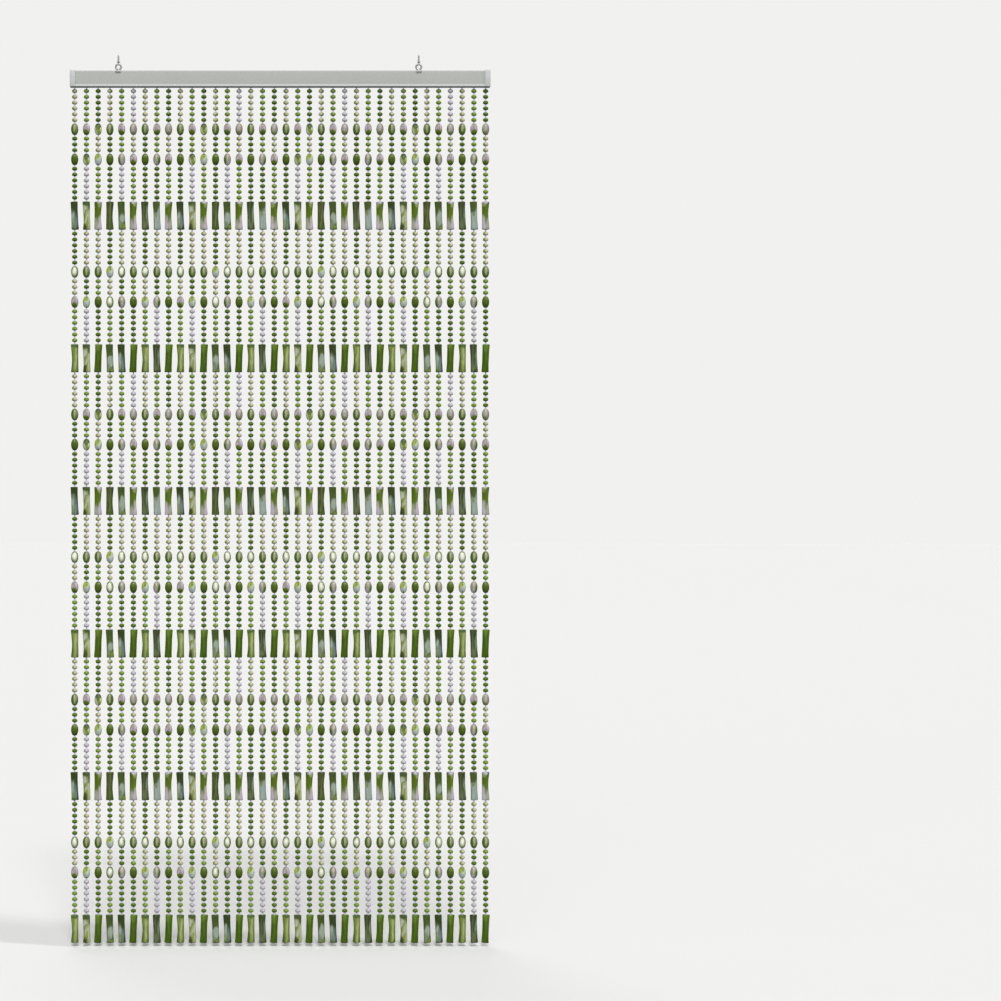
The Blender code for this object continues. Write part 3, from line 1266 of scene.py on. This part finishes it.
@dataclass
class TwistedTube:
    """A long three-sided bead with round corners, twisted and drawn in at its waist."""

    length: float = 62.0 * MM
    corner_radius: float = 5.08 * MM
    corner_place: float = 3.78 * MM
    corner_steps: int = 4
    waist: float = 0.847
    twist: float = math.radians(60)
    bands: int = 8
    rim: float = 1.8 * MM
    mouth_inset: float = 1.6 * MM
    mouth_radius: float = 2.2 * MM
    mouth_taper: float = 0.25 * MM
    mouth_depth: float = 1.5 * MM
    smooth_degrees: float = 50

    def model(self) -> bpy.types.Mesh:
        """Models the tube once, round the origin.

        Returns:
            The tube's mesh.
        """
        begin_piece()
        sharp_radius = self.corner_place + 2 * self.corner_radius
        bpy.ops.mesh.primitive_cylinder_add(vertices=3, radius=sharp_radius, depth=self.length)
        piece = bpy.context.object
        bpy.ops.object.mode_set(mode="EDIT")
        pick(Mode.EDGES, lambda edge: not level_edge(edge))
        reach = self.corner_radius / math.tan(math.radians(30))
        bpy.ops.mesh.bevel(offset=reach, segments=self.corner_steps, profile=0.5)
        pick(Mode.EDGES, lambda edge: not level_edge(edge))
        bpy.ops.mesh.subdivide(number_cuts=self.bands - 1)
        pick(Mode.EDGES, lambda edge: rim_edge(edge, self.length / 2))
        bpy.ops.mesh.bevel(offset=self.rim, segments=2, profile=0.5)
        self._open_mouths()
        self._twist(piece)
        return take_mesh(piece)

    def _open_mouths(self) -> None:
        """Sinks a mouth for the cord into each end."""
        for way in (1, -1):
            pick(Mode.FACES, lambda face, way=way: face.normal.z * way > SQUARE_END)
            bpy.ops.mesh.inset(thickness=self.mouth_inset)
            mesh = bpy.context.object.data
            shape = bmesh.from_edit_mesh(mesh)
            for vert in [vert for vert in shape.verts if vert.select]:
                vert.co.xy = vert.co.xy.normalized() * self.mouth_radius
            bmesh.update_edit_mesh(mesh)
            bpy.ops.mesh.inset(thickness=self.mouth_taper, depth=-self.mouth_depth)

    def _twist(self, piece: bpy.types.Object) -> None:
        """Turns and narrows the tube, level by level.

        Args:
            piece: The tube, in edit mode.
        """
        shape = bmesh.from_edit_mesh(piece.data)
        levels = sorted({round(vert.co.z, 6) for vert in shape.verts})
        half = self.length / 2
        for level in levels:
            pick(Mode.VERTS, lambda vert, level=level: abs(vert.co.z - level) < 2 * SAME_LEVEL)
            share = level / half
            width = self.waist + (1 - self.waist) * share**2
            turn_about(share * self.twist / 2)
            scale_about((width, width, 1))


@dataclass
class CordLength:
    """A short stretch of two-ply twisted cord, as it shows between two beads."""

    radius: float = 1.85 * MM
    pinch: float = 0.78
    length: float = 5.8 * MM
    sides: int = 6
    bands: int = 2
    twist: float = math.radians(100)

    def model(self) -> bpy.types.Mesh:
        """Models the stretch once, round the origin.

        Returns:
            The stretch's mesh.
        """
        begin_piece()
        bpy.ops.mesh.primitive_circle_add(
            vertices=self.sides, radius=self.radius, location=(0, 0, -self.length / 2)
        )
        piece = bpy.context.object
        settle(piece)
        bpy.ops.object.mode_set(mode="EDIT")
        # Two points that face each other are drawn in, so that the section has two plies
        pick(Mode.VERTS, lambda vert: abs(vert.co.x) < self.radius / 4)
        scale_about((1, self.pinch, 1))
        bpy.ops.mesh.select_all(action="SELECT")
        for _ in range(self.bands):
            extrude(self.length / self.bands)
            turn_about(self.twist / self.bands)
        bpy.ops.mesh.select_all(action="SELECT")
        bpy.ops.mesh.fill_holes(sides=self.sides)
        face_outwards()
        return take_mesh(piece)


@dataclass(frozen=True)
class SectionChart:
    """The beads of one section for a repeat of nine strings, a letter for each string.

    A small letter is the same bead with its colours mirrored.
    """

    first_run: str
    first_ovals: str
    middle_run: str
    second_ovals: str
    last_run: str
    tubes: str


ODD_SECTION = SectionChart(
    "PMDpMWPMD", "SLYsLGSlG", "DMPDMPDMP", "OYFOELOeL", "DWMDWMDDM", "BVRKHRJMr"
)
EVEN_SECTION = SectionChart(
    "DPPDPPDPP", "CSSFCSCSS", "PDMPDMPDM", "LFOCEOFeO", "MWDMDDMWD", "QVNHBNQJN"
)

# Turn of each kind of tube about its string, in degrees, as seen in the close-up
TUBE_TURNS = {"B": 0, "V": 20, "R": 90, "K": 90, "H": 0, "J": -10, "M": 0, "N": 60, "Q": 30}


@dataclass
class BeadStrings:
    """All the strings: beads in their order, and the cord that shows between them."""

    count: int = 36
    pitch: float = 26.0 * MM
    sections: int = 6
    small_pitch: float = 12.8 * MM
    oval_step: float = 20.6 * MM
    tube_step: float = 8.9 * MM
    top_lap: float = 0.4 * MM
    cord_seed: int = 50
    nodes: tuple[str, str] = ("bead_strands_left", "bead_strands_right")
    small: dict[str, list[Placement]] = field(default_factory=dict)
    ovals: dict[str, list[Placement]] = field(default_factory=dict)
    tubes: dict[str, list[Placement]] = field(default_factory=dict)
    gaps: list[Placement] = field(default_factory=list)

    def place_across(self, index: int) -> float:
        """Gives the place of a string across the curtain, from the left."""
        return (index - (self.count - 1) / 2) * self.pitch

    def build(self) -> None:
        """Places every bead and makes one piece for each kind."""
        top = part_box("head_rail")[0].z
        section_length = (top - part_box(self.nodes[0])[0].z) / self.sections
        for index in range(self.count):
            x = self.place_across(index)
            self.gaps.append(Placement(x, top + self.top_lap))
            for section in range(self.sections):
                chart = EVEN_SECTION if section % 2 else ODD_SECTION
                place = index % len(chart.tubes)
                self._string_section(chart, place, x, top - section * section_length)
        self._make_kind("small_beads", SmallBead(), self.small, SMALL_FINISHES)
        self._make_kind("oval_beads", OvalBead(), self.ovals, OVAL_FINISHES)
        self._make_kind("tube_beads", TwistedTube(), self.tubes, TUBE_FINISHES)
        self._make_cords()

    def _string_section(self, chart: SectionChart, place: int, x: float, top: float) -> None:
        """Threads one section of one string, from its top down.

        Args:
            chart: Which beads the section has.
            place: The string's place in the repeat of nine.
            x: The string's place across the curtain.
            top: The height of the section's top.
        """
        small_half = SmallBead().length / 2
        oval_half = OvalBead().half_length
        tube_half = TwistedTube().length / 2
        ends = [top]
        z = top - self.tube_step
        # Small beads in the run, their letters, and the larger bead below with its letters
        runs = (
            (6, chart.first_run, BeadKind.OVAL, chart.first_ovals),
            (3, chart.middle_run, BeadKind.OVAL, chart.second_ovals),
            (6, chart.last_run, BeadKind.TUBE, chart.tubes),
        )
        for beads, run, kind, larger in runs:
            letter, mirrored = run[place].upper(), run[place].islower()
            for _ in range(beads):
                self.small.setdefault(letter, []).append(Placement(x, z, 0.0, mirrored))
                ends += [z + small_half, z - small_half]
                z -= self.small_pitch
            letter, mirrored = larger[place].upper(), larger[place].islower()
            z += self.small_pitch
            if kind is BeadKind.OVAL:
                z -= self.oval_step
                self.ovals.setdefault(letter, []).append(Placement(x, z, 0.0, mirrored))
                ends += [z + oval_half, z - oval_half]
                z -= self.oval_step
            else:
                z -= self.tube_step + tube_half
                turn = math.radians(TUBE_TURNS[letter])
                self.tubes.setdefault(letter, []).append(Placement(x, z, turn, mirrored))
                ends.append(z + tube_half)
        for above, below in zip(ends[::2], ends[1::2]):
            self.gaps.append(Placement(x, (above + below) / 2))

    def _make_kind(
        self,
        title: str,
        bead: SmallBead | OvalBead | TwistedTube,
        groups: dict[str, list[Placement]],
        finishes: dict[str, MarbledAcrylic],
    ) -> None:
        """Makes one piece for each finish of one kind of bead.

        Args:
            title: What the pieces' names start with.
            bead: The bead.
            groups: Placements by the finish's letter.
            finishes: Finishes by letter.
        """
        pattern = bead.model()
        for seed, (letter, placements) in enumerate(sorted(groups.items())):
            finish = finishes[letter]
            name = title + finish.name.removeprefix("acrylic")
            piece = joined_copies(name, pattern, placements, seed)
            soften(piece, bead.smooth_degrees)
            hand_over(piece, name, finish.build(), "bead_acrylic", *self.nodes)

    def _make_cords(self) -> None:
        """Makes the cord that shows between the beads, in a left and a right half."""
        pattern = CordLength().model()
        finish = TwistedCord().build()
        halves = {
            Side.LEFT: [gap for gap in self.gaps if gap.x < 0],
            Side.RIGHT: [gap for gap in self.gaps if gap.x > 0],
        }
        for seed, (side, gaps) in enumerate(halves.items()):
            piece = joined_copies("cord", pattern, gaps, self.cord_seed + seed)
            soften(piece, degrees=80)
            hand_over(piece, "string_cord_" + side.value, finish, "bead_acrylic", *self.nodes)


@dataclass
class BackingStrip:
    """A strip inside the rail that the strings of one half hang from."""

    side: Side
    edge: float = 0.6 * MM
    depth: float = 20.4 * MM
    height: ClassVar[float] = 4.0 * MM

    def build(self, finish: bpy.types.Material) -> None:
        """Models the strip where the CAD solid has it.

        Args:
            finish: The strip's material.
        """
        node = "bead_strands_" + self.side.value
        rail_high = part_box("head_rail")[1]
        low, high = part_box(node)
        ends = sorted((math.copysign(rail_high.x - 2 * GAP, low.x + high.x), 0.0))
        bottom = high.z - self.height
        piece = add_box(
            (ends[1] - ends[0] - GAP, self.depth, high.z - bottom),
            (sum(ends) / 2, 0, (high.z + bottom) / 2),
        )
        edit_all()
        bpy.ops.mesh.bevel(offset=self.edge, segments=2)
        bpy.ops.object.mode_set(mode="OBJECT")
        soften(piece, degrees=40)
        hand_over(piece, "backing_strip_" + self.side.value, finish, "bead_acrylic", node)


@dataclass
class StringStops:
    """The knot that holds each string at the strip, and the one in its last bead."""

    strings: BeadStrings
    radius: float = 1.5 * MM
    wrap: float = 0.75 * MM
    # How thick each of the knot's two turns is, in shares of the wrap, and its tilt in degrees
    turns: tuple[tuple[float, tuple[int, int, int]], ...] = ((1.3, (25, 0, 0)), (1.1, (-50, 30, 0)))
    top_turn: float = 0.4
    bottom_turn: float = 0.7
    below_strip: float = 1.1 * MM
    above_end: float = 1.3 * MM
    seed: int = 70

    def build(self, finish: bpy.types.Material) -> None:
        """Models one knot and sets it at both ends of every string.

        Args:
            finish: The cord's material.
        """
        turns = []
        for share, tilt in self.turns:
            begin_piece()
            bpy.ops.mesh.primitive_torus_add(
                major_radius=self.radius - self.wrap,
                minor_radius=self.wrap * share,
                major_segments=10,
                minor_segments=6,
                rotation=[math.radians(angle) for angle in tilt],
            )
            turns.append(bpy.context.object)
        pattern = take_mesh(join_parts(*turns))
        low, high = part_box(self.strings.nodes[0])
        top = high.z - BackingStrip.height - self.below_strip
        bottom = low.z + self.above_end
        places = []
        for index in range(self.strings.count):
            x = self.strings.place_across(index)
            places.append(Placement(x, top, self.top_turn * index))
            places.append(Placement(x, bottom, self.bottom_turn * index))
        piece = joined_copies("knots", pattern, places, self.seed)
        soften(piece, degrees=80)
        hand_over(piece, "string_knots", finish, "bead_acrylic", *self.strings.nodes)


@dataclass
class HeadRail:
    """The head rail: a rolled channel with ledges below and a proud lower lip."""

    depth: float = 24.0 * MM
    wall: float = 1.5 * MM
    corner: float = 2.0 * MM
    slot: float = 15.0 * MM
    lip_height: float = 4.5 * MM
    lip_proud: float = 1.0 * MM
    lip_round: float = 0.45 * MM
    node: str = "head_rail"

    def build(self, finish: bpy.types.Material) -> None:
        """Models the rail.

        Args:
            finish: The rail's paint.
        """
        low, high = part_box(self.node)
        half = self.depth / 2
        piece = add_box((high.x - low.x, self.depth, high.z - low.z), (low + high) / 2)
        bpy.ops.object.mode_set(mode="EDIT")
        pick(
            Mode.EDGES,
            lambda edge: all(
                vert.co.z > high.z - SAME_PLACE and abs(vert.co.y) > half - SAME_PLACE
                for vert in edge.verts
            )
            and abs(edge.verts[0].co.y - edge.verts[1].co.y) < SAME_PLACE,
        )
        bpy.ops.mesh.bevel(offset=self.corner, segments=6, profile=0.5)
        self._hollow(low, high)
        self._raise_lip(low)
        bpy.ops.object.mode_set(mode="OBJECT")
        soften(piece, degrees=35)
        hand_over(piece, "rail", finish, "rail_paint", self.node)

    def _hollow(self, low: Vector, high: Vector) -> None:
        """Sinks the slot into the underside and widens it to the channel.

        Args:
            low: The rail's lowest corner.
            high: The rail's highest corner.
        """
        pick(Mode.FACES, lambda face: face.normal.z < -SQUARE_ON)
        bpy.ops.mesh.inset(thickness=(self.depth - self.slot) / 2)
        # Up past the ledges, out to the walls, and up to the rail's top
        extrude(self.wall)
        extrude()
        scale_about((1, (self.depth - 2 * self.wall) / self.slot, 1))
        extrude(high.z - low.z - 2 * self.wall)

    def _raise_lip(self, low: Vector) -> None:
        """Draws the lower edge of both faces out into a rounded lip.

        Args:
            low: The rail's lowest corner.
        """
        half = self.depth / 2
        lip_top = low.z + self.lip_height
        bpy.ops.mesh.select_all(action="SELECT")
        bpy.ops.mesh.bisect(plane_co=(0, 0, lip_top), plane_no=(0, 0, 1))
        pick(
            Mode.FACES,
            lambda face: abs(face.normal.y) > SQUARE_ON
            and abs(face.calc_center_median().y) > half - SAME_PLACE
            and face.calc_center_median().z < lip_top,
        )
        extrude()
        scale_about((1, 1 + self.lip_proud / half, 1))
        pick(
            Mode.EDGES,
            lambda edge: all(abs(vert.co.y) > half + SAME_PLACE for vert in edge.verts)
            and level_edge(edge),
        )
        bpy.ops.mesh.bevel(offset=self.lip_round, segments=3, profile=0.5)


@dataclass
class EndCap:
    """A moulded cap over one end of the rail, with softened edges."""

    side: Side
    wall: float = 1.0 * MM
    corner: float = 1.6 * MM
    edge: float = 0.25 * MM

    def build(self, finish: bpy.types.Material) -> None:
        """Models the cap.

        Args:
            finish: The cap's plastic.
        """
        node = "end_cap_" + self.side.value
        low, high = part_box(node)
        outward = math.copysign(1.0, low.x)
        end = low.x if outward < 0 else high.x
        piece = add_box(high - low, (low + high) / 2)
        bpy.ops.object.mode_set(mode="EDIT")
        pick(Mode.FACES, lambda face: face.normal.x * outward < -0.9 or face.normal.z < -0.9)
        bpy.ops.mesh.delete(type="FACE")
        pick(
            Mode.EDGES,
            lambda edge: not edge.is_boundary
            and (
                all(abs(vert.co.x - end) < SAME_PLACE for vert in edge.verts)
                or all(abs(vert.co.z - high.z) < SAME_PLACE for vert in edge.verts)
            ),
        )
        bpy.ops.mesh.bevel(offset=self.corner, segments=4, profile=0.55)
        bpy.ops.object.mode_set(mode="OBJECT")
        thicken(piece, self.wall, WallSide.INNER)
        ease_edges(piece, self.edge)
        soften(piece, degrees=35)
        hand_over(piece, "cap_" + self.side.value, finish, "cap_plastic", node)


@dataclass
class ScrewEye:
    """A wood screw of thick wire with a collar and its end bent round to an eye."""

    side: Side
    wire: float = 2.1 * MM
    ring: float = 5.8 * MM
    ring_middle: float = -11.5 * MM
    opening: float = math.radians(3)
    shank: float = 1.7 * MM
    shank_top: float = 13.0 * MM
    tip: float = 3.0 * MM
    tip_shares: tuple[float, float] = (0.62, 0.12)
    collar: float = 4.0 * MM
    collar_depth: float = 1.2 * MM
    collar_round: float = 0.35 * MM
    thread_pitch: float = 1.4 * MM
    thread_depth: float = 0.42 * MM
    thread_turns: int = 8
    thread_steps: int = 20

    def build(self, finish: bpy.types.Material) -> None:
        """Models the screw, the eye and the thread and joins them.

        Args:
            finish: The plated steel.
        """
        node = "screw_eye_" + self.side.value
        low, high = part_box(node)
        x = (low.x + high.x) / 2
        piece = join_parts(self._screw(x), self._eye(x), self._thread(x))
        soften(piece, degrees=40)
        hand_over(piece, "eye_" + self.side.value, finish, "zinc_steel", node)

    def _screw(self, x: float) -> bpy.types.Object:
        """Models shank, point and collar.

        Args:
            x: The screw's place across the curtain.

        Returns:
            The screw.
        """
        foot = self.ring_middle + self.ring
        begin_piece()
        bpy.ops.mesh.primitive_cylinder_add(
            vertices=24,
            radius=self.shank,
            depth=self.shank_top - foot,
            location=(x, 0, (self.shank_top + foot) / 2),
        )
        screw = bpy.context.object
        settle(screw)
        bpy.ops.object.mode_set(mode="EDIT")
        pick(Mode.FACES, lambda face: face.normal.z > SQUARE_ON)
        for share in self.tip_shares:
            extrude(self.tip / 2)
            scale_about((share, share, 1), x)
        for level in (-self.collar_depth, 0.0):
            bpy.ops.mesh.select_all(action="SELECT")
            bpy.ops.mesh.bisect(plane_co=(0, 0, level), plane_no=(0, 0, 1))
        pick(
            Mode.FACES,
            lambda face: abs(face.normal.z) < 0.1
            and -self.collar_depth < face.calc_center_median().z < 0,
        )
        extrude()
        grown = self.collar / self.shank
        scale_about((grown, grown, 1), x)
        well_out = (self.collar * 0.95) ** 2
        pick(
            Mode.EDGES,
            lambda edge: level_edge(edge)
            and all((vert.co.x - x) ** 2 + vert.co.y**2 > well_out for vert in edge.verts),
        )
        bpy.ops.mesh.bevel(offset=self.collar_round, segments=3, profile=0.5)
        bpy.ops.object.mode_set(mode="OBJECT")
        return screw

    def _eye(self, x: float) -> bpy.types.Object:
        """Bends the wire round to the eye, with its cut end just short of the neck.

        Args:
            x: The eye's place across the curtain.

        Returns:
            The eye.
        """
        begin_piece()
        bpy.ops.mesh.primitive_circle_add(
            vertices=16,
            radius=self.wire,
            fill_type="NGON",
            location=(x, 0, self.ring_middle + self.ring),
            rotation=(0, math.radians(90), 0),
        )
        eye = bpy.context.object
        settle(eye)
        edit_all()
        bpy.ops.mesh.spin(
            steps=44,
            angle=2 * math.pi - self.opening,
            center=(x, 0, self.ring_middle),
            axis=(0, 1, 0),
        )
        face_outwards()
        return eye

    def _thread(self, x: float) -> bpy.types.Object:
        """Winds the thread round the shank.

        Args:
            x: The screw's place across the curtain.

        Returns:
            The thread.
        """
        start = (x, 0, self.shank_top - self.thread_pitch * self.thread_turns)
        begin_piece()
        bpy.ops.mesh.primitive_circle_add(vertices=3, radius=self.thread_depth, location=start)
        thread = bpy.context.object
        edit_all()
        for axis in ("Y", "Z"):
            turn_about(math.radians(90), axis, start)
        bpy.ops.transform.translate(value=(self.shank - self.thread_depth / 4, 0, 0))
        bpy.ops.object.mode_set(mode="OBJECT")
        winding = thread.modifiers.new("Winding", "SCREW")
        winding.screw_offset = self.thread_pitch
        winding.iterations = self.thread_turns
        winding.steps = self.thread_steps
        winding.render_steps = self.thread_steps
        winding.use_normal_calculate = True
        apply_modifiers(thread)
        edit_all()
        bpy.ops.mesh.fill_holes(sides=3)
        face_outwards()
        return thread


@dataclass
class SaddleClip:
    """A bent strip saddled over the rail, with a staple for the screw eye's ring."""

    side: Side
    rail_half_depth: float = 12.3 * MM
    thickness: float = 1.0 * MM
    staple_width: float = 4.0 * MM
    staple_thickness: float = 1.2 * MM
    staple_inner: float = 2.6 * MM
    staple_foot: float = 0.8 * MM
    edge: float = 0.2 * MM

    def build(self, finish: bpy.types.Material) -> None:
        """Models saddle and staple and joins them.

        Args:
            finish: The plated steel.
        """
        node = "saddle_clip_" + self.side.value
        low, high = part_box(node)
        piece = join_parts(self._saddle(low, high), self._staple(low, high))
        ease_edges(piece, self.edge)
        soften(piece, degrees=35)
        hand_over(piece, "clip_" + self.side.value, finish, "zinc_steel", node)

    def _saddle(self, low: Vector, high: Vector) -> bpy.types.Object:
        """Bends the saddle from a flat strip.

        Args:
            low: The clip's lowest corner.
            high: The clip's highest corner.

        Returns:
            The saddle.
        """
        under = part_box("head_rail")[1].z + GAP
        x = (low.x + high.x) / 2
        saddle = add_sheet((high.x - low.x, 2 * self.rail_half_depth), (x, 0, under))
        bpy.ops.object.mode_set(mode="EDIT")
        pick(Mode.EDGES, lambda edge: abs(edge.verts[0].co.y - edge.verts[1].co.y) < SAME_LEVEL)
        extrude(low.z - under)
        face_outwards()
        thicken(saddle, self.thickness, WallSide.OUTER)
        return saddle

    def _staple(self, low: Vector, high: Vector) -> bpy.types.Object:
        """Bends the staple over from one foot to the other.

        Args:
            low: The clip's lowest corner.
            high: The clip's highest corner.

        Returns:
            The staple.
        """
        x = (low.x + high.x) / 2
        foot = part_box("head_rail")[1].z + self.staple_foot
        middle = high.z - self.staple_inner - self.staple_thickness
        staple = add_sheet(
            (self.staple_width, self.staple_thickness),
            (x, -self.staple_inner - self.staple_thickness / 2, foot),
        )
        edit_all()
        extrude(middle - foot)
        bpy.ops.mesh.spin(steps=14, angle=-math.pi, center=(x, 0, middle), axis=(1, 0, 0))
        extrude(foot - middle)
        face_outwards()
        return staple


@dataclass(frozen=True)
class SoftLamp:
    """A wide, far lamp: where it stands round the curtain, its spread and its power."""

    name: str
    azimuth: float
    elevation: float
    spread: float
    power: float
    mirrored: bool = True
    height: float = 3.0

    def build(self) -> None:
        """Hangs the lamp."""
        light = bpy.data.lights.new(self.name, "SUN")
        light.angle = math.radians(self.spread)
        light.energy = self.power
        lamp = bpy.data.objects.new(self.name, light)
        tilt = math.radians(90 - self.elevation)
        lamp.rotation_euler = (tilt, 0, math.radians(self.azimuth))
        lamp.location = (0, 0, self.height)
        lamp.visible_glossy = self.mirrored
        bpy.context.scene.collection.objects.link(lamp)


@dataclass
class Studio:
    """Pale floor, plain pale room, soft lamps and the camera."""

    photo_side: float = 1001.0
    mm_per_pixel: float = 2.2146
    curtain_middle_pixel: float = 280.15
    lintel_pixel: float = 61.8
    lens: float = 100.0
    sensor: float = 36.0
    floor_gap: float = 8.0 * MM
    floor_radius: float = 60.0
    floor_tone: str = "#DCDCDA"
    room_tone: str = "#F1F1F0"
    glow_tone: str = "#F2F4F7"
    room_glow: float = 0.28
    lamps: tuple[SoftLamp, ...] = (
        SoftLamp("key", 3, 48, 12, 2.0),
        SoftLamp("side", 70, 42, 9, 1.0),
        SoftLamp("front", -12, 6, 50, 1.7, mirrored=False),
        SoftLamp("back", 192, 24, 40, 1.7, mirrored=False),
    )

    def build(self) -> None:
        """Sets up the room, the light and the camera."""
        self._floor()
        for lamp in self.lamps:
            lamp.build()
        self._room()
        self._camera()

    def _floor(self) -> None:
        """Lays the floor just under the lowest beads."""
        begin_piece()
        height = CAD_BOX[0].z - self.floor_gap
        bpy.ops.mesh.primitive_circle_add(
            vertices=64, radius=self.floor_radius, fill_type="NGON", location=(0, 0, height)
        )
        floor = bpy.context.object
        floor.name = "studio_floor"
        settle(floor)
        # Matt paper: it gives no highlight, so it runs into the plain room without a seam
        material, _, shader = new_surface("studio_paper")
        shader.inputs["Base Color"].default_value = linear(self.floor_tone)
        shader.inputs["Roughness"].default_value = 1.0
        shader.inputs["Specular IOR Level"].default_value = 0.0
        floor.data.materials.append(material)
        floor.visible_diffuse = False
        floor.visible_glossy = False

    def _room(self) -> None:
        """Fills the room with a faint even glow behind a plain pale background."""
        world = bpy.data.worlds.new("studio")
        bpy.context.scene.world = world
        world.use_nodes = True
        tree = world.node_tree
        glow = tree.nodes["Background"]
        glow.inputs["Color"].default_value = linear(self.glow_tone)
        glow.inputs["Strength"].default_value = self.room_glow
        wall = add_node(tree, "ShaderNodeBackground", {"Color": linear(self.room_tone)})
        path = add_node(tree, "ShaderNodeLightPath")
        seen = add_node(
            tree,
            "ShaderNodeMixShader",
            {0: path.outputs["Is Camera Ray"], 1: glow.outputs[0], 2: wall.outputs[0]},
        )
        tree.links.new(seen.outputs[0], tree.nodes["World Output"].inputs["Surface"])
        bpy.context.scene.view_settings.view_transform = "Standard"

    def _camera(self) -> None:
        """Places the camera straight in front, with the photograph's framing."""
        width = self.photo_side * self.mm_per_pixel * MM
        distance = width * self.lens / self.sensor
        middle = self.photo_side / 2
        height = -(middle - self.lintel_pixel) * self.mm_per_pixel * MM
        data = bpy.data.cameras.new("photo_camera")
        data.lens = self.lens
        data.sensor_width = self.sensor
        data.shift_x = (middle - self.curtain_middle_pixel) / self.photo_side
        data.clip_end = 200.0
        camera = bpy.data.objects.new("photo_camera", data)
        camera.location = (0, -distance, height)
        camera.rotation_euler = (math.radians(90), 0, 0)
        bpy.context.scene.collection.objects.link(camera)
        bpy.context.scene.camera = camera


def main() -> None:
    """Builds all the pieces and the studio in order."""
    logging.basicConfig(level=logging.INFO, format="%(message)s")
    strings = BeadStrings()
    strings.build()
    StringStops(strings).build(TwistedCord().build())
    tape = WovenTape().build()
    lip_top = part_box("head_rail")[0].z + HeadRail.lip_height
    # The rail's lip gets a painted highlight, a lighter band below the lip's top
    paint = PowderCoat(
        "powder_coat_light_grey", "#A5A7A2", lip_painted_highlight="#C0C1C3", lip_top=lip_top
    ).build()
    caps = PowderCoat("styrene_pale_grey", "#BDBFBD", 0.35).build()
    zinc = ZincPlate("zinc_plated_steel").build()
    HeadRail().build(paint)
    for side in Side:
        BackingStrip(side).build(tape)
        EndCap(side).build(caps)
        SaddleClip(side).build(zinc)
        ScrewEye(side).build(zinc)
    Studio().build()


if __name__ == "__main__":
    main()
